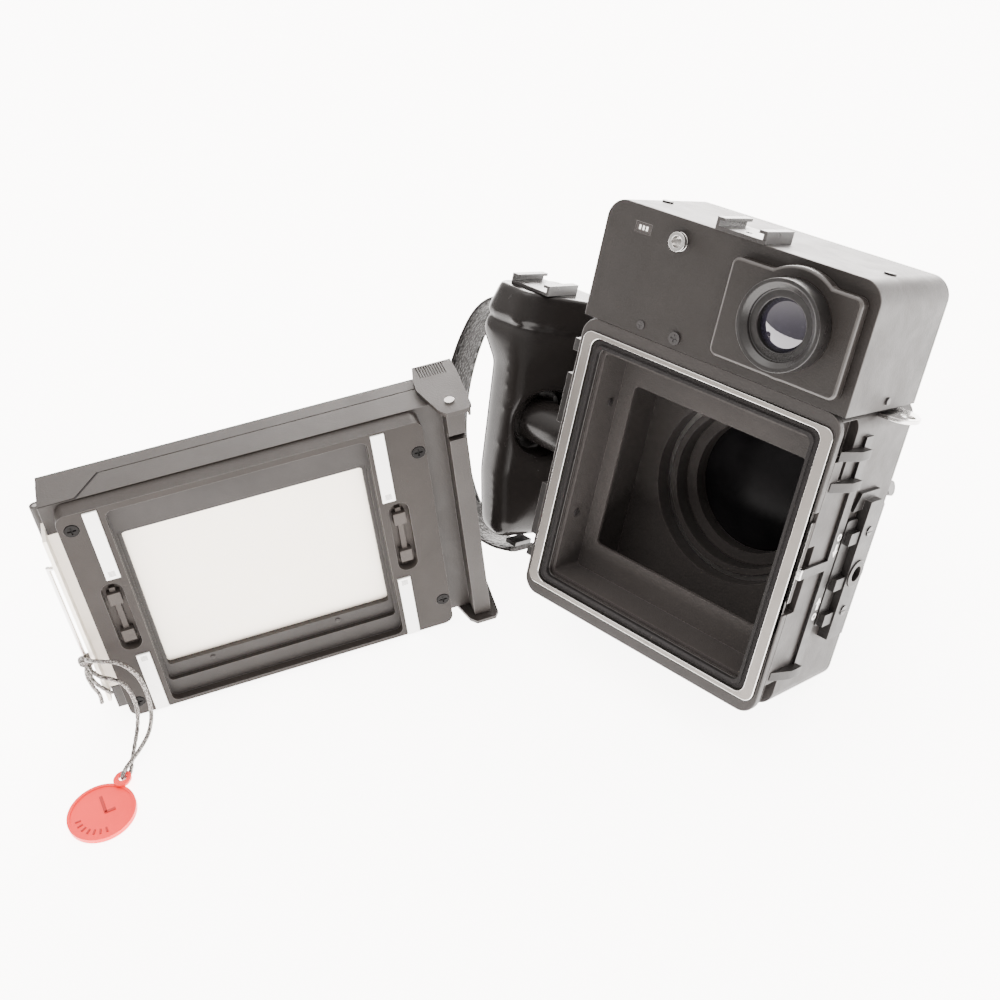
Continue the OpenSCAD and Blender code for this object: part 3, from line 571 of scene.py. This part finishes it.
# Node, material, material of its rounded edges, their width in mm, their segments
BODY_FINISHES = [
    ("body_casting", "body", "body_edge", 0.7, 3),
    ("rear_frame", "body", "body_edge", 0.45, 2),
    ("film_flange", "flange", "chrome", 0.3, 2),
    ("light_seal", "seal", None, 0.25, 2),
    ("light_baffle", "inside", None, 0.2, 2),
    ("rangefinder_housing", "housing", "body_edge", 0.9, 3),
    # The eyepiece panel's wide rounded edge takes the lighter edge paint, partly a painted highlight along
    # its side walls.
    ("eyepiece_panel", "housing", "body_edge", 1.2, 4),
    ("eyepiece_ring", "rubber", None, 0.35, 3),
    ("eyepiece_glass", "glass", None, 0.0),
    ("viewfinder_window", "glass", None, 0.15),
    ("rangefinder_window", "glass", None, 0.15),
    ("top_shoe", "shoe", None, 0.15, 2),
    ("sync_socket", "chrome", None, 0.15, 2),
    ("number_window", "inside", None, 0.05),
    ("housing_screws", "screw", None, 0.12, 2),
    ("tripod_bracket", "bracket", "body_edge", 0.3, 2),
    ("tripod_bush", "bracket", "body_edge", 0.25, 2),
    ("bracket_screws", "screw", None, 0.2, 2),
    ("strap_lug", "chrome", None, 0.2, 2),
    ("lens_mount_ring", "steel", None, 0.4, 2),
    ("breech_ring", "lens", "body_edge", 0.25, 2),
    ("lens_barrel", "lens", None, 0.3, 2),
    ("focus_ring", "lens", "body_edge", 0.25, 2),
    ("lens_tube", "lens", None, 0.2, 2),
    ("rear_glass", "dark_glass", None, 0.0),
    ("shutter_housing", "lens", "body_edge", 0.3, 2),
    ("front_barrel", "lens", None, 0.3, 2),
    ("front_glass", "glass", None, 0.0),
    ("cocking_lever", "chrome", None, 0.12, 2),
    ("release_lever", "chrome", None, 0.12, 2),
    ("speed_ring", "dark_steel", None, 0.12, 1),
    ("aperture_ring", "dark_steel", None, 0.12, 1),
    ("lock_slide", "bracket", None, 0.15, 2),
    ("lock_bar_right", "bracket", "body_edge", 0.12, 2),
    ("lock_bar_left", "bracket", "body_edge", 0.2, 2),
]
GRIP_FINISHES = [
    ("grip_shoe", "shoe", None, 0.12, 2),
    ("grip_arm", "grip", None, 0.4, 3),
    ("clamp_collar", "lens", None, 0.25, 2),
    ("trigger", "chrome", None, 0.3, 2),
    ("strap_anchors", "lens", None, 0.3, 2),
]
FILM_BACK_FINISHES = [
    ("back_housing", "back", "back_edge", 0.4, 2),
    ("mount_plate", "plate", "back_edge", 0.3, 2),
    ("wear_strips", "white", None, 0.15, 2),
    # The plate screws are painted near black: painted recess shade.
    ("plate_screws", "recess", None, 0.15, 2),
    # The lock catches take the pocket paint: painted light that offsets their shade.
    ("lock_catches", "pocket", None, 0.25, 2),
    ("roller_frame", "steel", None, 0.15, 2),
    ("pressure_springs", "steel", None, 0.1, 2),
    ("roller_front", "chrome", None, 0.2, 2),
    ("roller_rear", "chrome", None, 0.2, 2),
    ("back_door", "back", "back_edge", 0.5, 2),
    ("hinge_pin", "steel", None, 0.15, 2),
    ("latch", "back", "back_edge", 0.25, 2),
    ("dark_slide", "cream", None, 0.1, 1),
    ("slide_bail", "chrome", None, 0.0),
    ("tag", "tag", None, 0.25, 3),
]
PICKS = {"body_casting": chamber_pick, "lens_barrel": bore_pick, "lens_tube": bore_pick,
         "lock_bar_right": lock_bar_pick, "mount_plate": plate_pick, "latch": latch_pick,
         "slide_bail": bail_pick}


def refine_all(finishes):
    return {node: refine(node, *finish, pick=PICKS.get(node)) for node, *finish in finishes}


refine_all(BODY_FINISHES)
soften("grip_moulding", ("grip_rear", "grip_front", "grip_cap"), "grip")
refine_all(GRIP_FINISHES)
tag = refine_all(FILM_BACK_FINISHES)["tag"]


# ------------------------------------------------------------------ hand strap
STRAP_PATH = [(-119, 46), (-128, 43.5), (-135, 36), (-139.5, 24), (-142, 9), (-142, -8), (-138.5, -26),
              (-131, -43), (-120.5, -56), (-108, -62.5), (-97, -63.2), (-86, -60.5)]
STRAP_Y0, STRAP_W, STRAP_T = 23.0, 17.0, 2.5
SEAM_AT = 6.6  # from the strap's middle line


def strap_frames(steps):
    """Points of the strap's middle line with the direction that faces away from the grip."""
    line = curve_points([(x, STRAP_Y0 + STRAP_W / 2, z) for x, z in STRAP_PATH], steps)
    out = []
    for i, p in enumerate(line):
        t = heading(line, i)
        out.append((p, Vector((0, 1, 0)), Vector((-t.z, 0, t.x)).normalized()))
    return out


def strap_section(sides):
    """The strap cut across: a soft rectangle with a thick middle and a groove along each seam."""
    half, thick = STRAP_W / 2, STRAP_T / 2
    ring = []
    for k in range(sides):
        a = 2 * math.pi * k / sides
        c, q = math.cos(a), math.sin(a)
        y = half * math.copysign(abs(c) ** 0.45, c)
        body = thick * (0.70 + 0.30 * (1 - (abs(y) / half) ** 3))
        seam = 0.22 * math.exp(-((abs(y) - SEAM_AT) / 0.5) ** 2)
        ring.append((y, (body - seam) * math.copysign(abs(q) ** 0.6, q)))
    return ring


def make_strap():
    """A leather strap with a thick middle, pressed edges and a seam line inside each edge."""
    ring, path = strap_section(36), strap_frames(14)
    verts = []
    for i, (p, across, out) in enumerate(path):
        sag = 0.35 * math.sin(3.0 * math.pi * i / len(path))
        for y, h in ring:
            cup = sag * (y / (STRAP_W / 2)) ** 2
            verts.append(p + across * y + out * (h + cup - 0.15 * abs(sag)))
    ob = mesh_from("hand_strap_leather", skin(verts, len(ring)), ON_CAMERA, "camera", "leather",
                   sharp=60.0)
    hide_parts("hand_strap")


def stitch(start, end, up, sides=6):
    """One stitch: a thread from start to end that is thin where it enters the leather."""
    across = (end - start).normalized().cross(up)
    verts = []
    for share, size in ((0.0, 0.05), (0.18, 0.2), (0.5, 0.24), (0.82, 0.2), (1.0, 0.05)):
        p = start.lerp(end, share)
        for k in range(sides):
            w = 2 * math.pi * k / sides
            verts.append(p + size * (math.cos(w) * across + math.sin(w) * up))
    return skin(verts, sides, ends=False)


def make_stitches():
    """Thread lying along both seam lines of the strap, on its outer face."""
    path, lift = strap_frames(8), 1.02
    parts = []
    for side in (-SEAM_AT, SEAM_AT):
        for i in range(4, len(path) - 3, 3):
            start, end = (p + across * side + out * lift for p, across, out in (path[i], path[i + 2]))
            parts.append(stitch(start, end, path[i][2]))
    mesh_from("hand_strap_stitches", joined(parts), ON_CAMERA, "camera", "screw")


make_strap()
make_stitches()


# ------------------------------------------------------------------ small details
def prism(outline, depth, place):
    """Points and faces of a flat outline given thickness. place turns (a, b, height) into a point."""
    n = len(outline)
    verts = [place(a, b, h) for h in (0.0, depth) for a, b in outline]
    faces = [tuple(range(n - 1, -1, -1)), tuple(range(n, 2 * n))]
    faces += [(i, (i + 1) % n, n + (i + 1) % n, n + i) for i in range(n)]
    return verts, faces


def bevelled(ob, width):
    """The object with its edges rounded. width is in mm."""
    add_bevel(ob, width, 2, 35.0)
    apply_modifiers(ob)
    smooth_shading(ob.data)
    ob.data.set_sharp_from_angle(angle=math.radians(40.0))
    return ob


def rectangle(u0, v0, u1, v1):
    return [(u0, v0), (u1, v0), (u1, v1), (u0, v1)]


def ring_outline(cy, cz, r, count):
    return [(cy + r * math.cos(2 * math.pi * k / count), cz + r * math.sin(2 * math.pi * k / count))
            for k in range(count)]


def on_top(z):
    return lambda u, w, h: (u, w, z + h)


def on_side(x):
    return lambda y, z, h: (x + h, y, z)


def on_rear(y):
    return lambda x, z, h: (x, y - h, z)


# The door's hinge end reaches forward over the shell's top and bottom, with a slanting edge
WING_T, LINE_T = 0.3, 0.04
WING = [(BACK_LEFT - 0.05, 8.4), (-61.9, 8.4), (-52.2, 21.3), (-52.2, 22.2), (BACK_LEFT - 0.05, 22.2)]
for name, z in (("door_wing_top", BACK_HIGH), ("door_wing_low", BACK_LOW - WING_T)):
    mesh_from(name, prism(WING, WING_T, on_top(z)), ON_BACK, "back_door", "back", smooth=False)
SLANT = [(-61.9, 8.2), (-61.2, 8.2), (-51.5, 21.1), (-52.2, 21.1)]
slants = [prism(SLANT, LINE_T, on_top(z)) for z in (BACK_HIGH, BACK_LOW - LINE_T)]
mesh_from("shell_slant_line", joined(slants), ON_BACK, "film_back", "seal")


# Two printed signs on the right lock bar, generic: an arrow and a white disc with a dark dot on it
PRINT_X = SIDE_X + 1.34
PRINT_T = 0.04
SIGN_Y = 23.6        # the signs' middle line
DISC_FROM_SIGN = 5.0


def sign_arrow(z, way):
    """An arrow's outline at height z on the lock bar, pointing up for way 1 and down for way -1."""
    tail, neck, tip = z - 2.2 * way, z + 0.6 * way, z + 3.2 * way
    return [(SIGN_Y - 0.7, tail), (SIGN_Y + 0.7, tail), (SIGN_Y + 0.7, neck), (SIGN_Y + 1.8, neck),
            (SIGN_Y, tip), (SIGN_Y - 1.8, neck), (SIGN_Y - 0.7, neck)]


signs, dots = [], []
for z, way in ((6.0, -1), (-17.0, 1)):
    disc_z = z - DISC_FROM_SIGN * way
    signs.append(prism(sign_arrow(z, way), PRINT_T, on_side(PRINT_X)))
    signs.append(prism(ring_outline(SIGN_Y, disc_z, 1.5, 28), PRINT_T, on_side(PRINT_X)))
    dots.append(prism(ring_outline(SIGN_Y, disc_z, 0.7, 18), 0.05, on_side(PRINT_X + 0.03)))
mesh_from("lock_bar_signs", joined(signs), ON_CAMERA, "lock_bar_right", "print")
mesh_from("lock_bar_sign_dots", joined(dots), ON_CAMERA, "lock_bar_right", "bracket")

# Three plain bars in the film counter's window stand for its figures
bars = [prism(rectangle(x, 98.0, x + 0.9, 99.7), 0.05, on_rear(-0.42)) for x in (-42.9, -41.3, -39.7)]
mesh_from("counter_bars", joined(bars), ON_CAMERA, "camera", "print")

# Screws on the chamber's left wall
heads = [prism(ring_outline(y, z, 1.6, 24), 0.5, on_side(-46.6)) for y, z in ((9.0, -22.0), (14.0, 26.0))]
bevelled(mesh_from("chamber_screws", joined(heads), ON_CAMERA, "camera", "screw"), 0.15)

# Pins on the window's ledges, two below and two above
pins = [prism(ring_outline(u, v, 1.1, 24), 0.5, on_rear(5.5))
        for u, v in ((-32.0, -39.5), (22.0, -39.5), (-30.0, 38.4), (24.0, 38.4))]
bevelled(mesh_from("ledge_pins", joined(pins), ON_BACK, "film_back", "plate_dark"), 0.2)

# Scuffed pads of five fine lines at the ends of the wear strips
LINE_PITCH, LINE_W, PAD_HALF = 0.55, 0.22, 1.3
pads = []
for u, v in ((-57.6, 22.6), (52.4, 22.6), (-57.6, -24.2), (52.4, -24.2)):
    for k in range(5):
        z = v + LINE_PITCH * (k - 2)
        pads.append(prism(rectangle(u - PAD_HALF, z, u + PAD_HALF, z + LINE_W), 0.03, on_rear(-0.5)))
mesh_from("strip_marks", joined(pads), ON_BACK, "film_back", "dark_steel")


# ------------------------------------------------------------------ tag face
TAG_AT, LUG_AT = Vector((-87.5, -44.5)), Vector((-77.6, -31.6))
TAG_FLOOR = 1.5  # above the table
MARK_T = 0.3


def stroke(start, end, width):
    """The outline of a straight stroke between two points of the tag."""
    p, q = Vector(start), Vector(end)
    d = (q - p).normalized()
    n = Vector((-d.y, d.x)) * width / 2
    return [tuple(p - n), tuple(q - n), tuple(q + n), tuple(p + n)]


def make_tag_face():
    """A tick and an arc of seven plain bars on the tag's floor."""
    away = (LUG_AT - TAG_AT).normalized()
    side = Vector((-away.y, away.x))

    def place(a, b, h):
        q = TAG_AT + side * a + away * b
        return (q.x, q.y, TABLE_Z + TAG_FLOOR + h)

    strokes = [stroke((-4.4, 3.2), (-1.4, 0.2), 1.3), stroke((-1.9, 0.2), (4.6, 6.4), 1.3)]
    for k in range(7):
        a = math.radians(225 + 15 * k)
        c, q = math.cos(a), math.sin(a)
        strokes.append(stroke((8.2 * c, 8.2 * q), (10.6 * c, 10.6 * q), 0.75))
    marks = joined([prism(outline, MARK_T, place) for outline in strokes])
    return bevelled(mesh_from("tag_marks", marks, ON_BACK, "dark_slide", "tag_cut"), 0.1)


def knot_loop(tilt, size, lift):
    """One turn of the string round the bail, tilted by an angle in degrees."""
    turn = Matrix.Rotation(math.radians(tilt), 3, "X") @ Matrix.Rotation(math.radians(tilt * 0.7), 3, "Y")
    angles = [2 * math.pi * k / 28 for k in range(29)]
    return [KNOT_AT + turn @ Vector((size * math.cos(a), size * math.sin(a), lift + 0.25 * math.sin(3 * a)))
            for a in angles]


# The knot's two loose ends, from its middle
KNOT_ENDS = [[(0, -1.5, -1.5), (-0.4, -3.4, -5), (1.0, -5, -9.5), (3.4, -5.4, -13.5), (5.2, -5.0, -17.0)],
             [(-0.6, -1.6, -1.6), (-1.6, -2.6, -6), (-0.8, -4.4, -11), (0.6, -5.6, -15), (0.4, -6.4, -19.5)]]


def make_knot():
    """The string's knot on the bail: loops drawn tight round it and two loose ends."""
    lines = [knot_loop(*turn) for turn in ((10, 2.3, -0.9), (-18, 2.5, 0.9), (75, 2.1, 0.2))]
    lines += [curve_points([KNOT_AT + Vector(v) for v in end], 10) for end in KNOT_ENDS]
    shape = joined([cord_shape(line, 0.85) for line in lines])
    return mesh_from("string_knot", shape, ON_BACK, "dark_slide", "string")


tag_marks = make_tag_face()
knot = make_knot()
string_length(string_line) * MM


# ------------------------------------------------------------------ floor and light
FLOOR_HALF = 8.0
WARM_WHITE = (1.0, 0.955, 0.925)
BACKDROP, OVERHEAD = (-0.57, 0.82, 0.06), (-0.2, 0.6, 0.75)  # directions in the sky


def make_stage():
    """A pale floor that gives off light, so that it burns out to white."""
    bm = bmesh.new()
    bmesh.ops.create_grid(bm, x_segments=1, y_segments=1, size=FLOOR_HALF)
    mesh = bpy.data.meshes.new("floor")
    bm.to_mesh(mesh)
    bm.free()
    g = Graph("floor_pale")
    tone = g.ramp(g.noise(3.0, 2.0), [(0.3, (0.88, 0.875, 0.87)), (0.7, (0.91, 0.905, 0.90))])
    g.set(Base_Color=tone, Roughness=0.9, Specular_IOR_Level=0.1,
          Emission_Color=(1.0, 0.97, 0.945), Emission_Strength=7.5)
    mesh.materials.append(g.mat)
    add_object("floor", mesh)


def lobe(tree, direction, start, end, low, high):
    """Strength that rises from low to high towards one direction of the sky, where the cosine of the
    angle to it goes from start to end."""
    place = tree.nodes.new("ShaderNodeTexCoord")
    dot = tree.nodes.new("ShaderNodeVectorMath")
    dot.operation = "DOT_PRODUCT"
    dot.inputs[1].default_value = Vector(direction).normalized()
    tree.links.new(place.outputs["Generated"], dot.inputs[0])
    span = tree.nodes.new("ShaderNodeMapRange")
    span.interpolation_type = "SMOOTHSTEP"
    for key, value in (("From Min", start), ("From Max", end), ("To Min", low), ("To Max", high)):
        span.inputs[key].default_value = value
    tree.links.new(dot.outputs["Value"], span.inputs["Value"])
    return span.outputs["Result"]


def make_world():
    """A white studio: a lit backdrop behind the object, softer overhead, dim on the camera's side."""
    world = bpy.data.worlds.new("studio")
    bpy.context.scene.world = world
    world.use_nodes = True
    t = world.node_tree
    bg = t.nodes["Background"]
    add = t.nodes.new("ShaderNodeMath")
    add.operation = "ADD"
    t.links.new(lobe(t, BACKDROP, 0.84, 1.0, 0.0, 34.0), add.inputs[0])
    t.links.new(lobe(t, OVERHEAD, -0.5, 0.9, 0.82, 3.7), add.inputs[1])
    bg.inputs["Color"].default_value = (*WARM_WHITE, 1.0)
    t.links.new(add.outputs[0], bg.inputs["Strength"])


def make_light(name, place, target, size, power):
    """A square lamp aimed at a point, its size in metres and its power in watts."""
    data = bpy.data.lights.new(name, "AREA")
    data.shape, data.size, data.energy, data.color = "SQUARE", size, power, (1.0, 0.98, 0.96)
    ob = add_object(name, data)
    ob.location = place
    ob.rotation_euler = (Vector(target) - Vector(place)).to_track_quat("-Z", "Y").to_euler()


make_stage()
make_world()
make_light("soft_top", (-0.1, -0.1, 1.3), (0.0, 0.0, 0.08), 0.9, 10.5)
